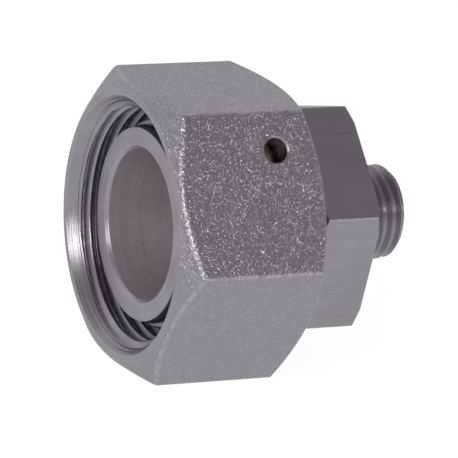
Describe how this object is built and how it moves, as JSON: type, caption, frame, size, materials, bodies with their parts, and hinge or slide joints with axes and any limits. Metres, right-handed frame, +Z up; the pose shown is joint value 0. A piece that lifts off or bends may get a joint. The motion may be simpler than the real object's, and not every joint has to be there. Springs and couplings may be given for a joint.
{
  "type": "hydraulic adapter fitting",
  "caption": "Straight reducing adapter: a sealing cone with a captive swivel union nut on one end and a small male threaded stub on the other.",
  "frame": {"origin": "centre of the sealing cone's front face, on the passage's axis", "axes": "+X along the passage, from the cone's face to the threaded stub; +Z up, away from the nut flat that the part lies on"},
  "size_m": [0.0433, 0.0472, 0.041],
  "materials": {
    "turned_steel": "plated, fine turning marks",
    "blasted_steel": "plated over a shot-blasted forging",
    "wire_steel": "brown drawn wire",
    "seal_rubber": "matt black"
  },
  "bodies": {
    "adapter": {"adapter_body": "turned_steel", "retaining_wire": "wire_steel", "cone_o_ring": "seal_rubber"},
    "nut": {"swivel_nut": "blasted_steel"}
  },
  "joints": [
    {"name": "nut_swivel", "type": "hinge", "parent": "adapter", "child": "nut", "pos_m": [0.0132, 0, 0], "axis": [1, 0, 0], "continuous": true}
  ]
}
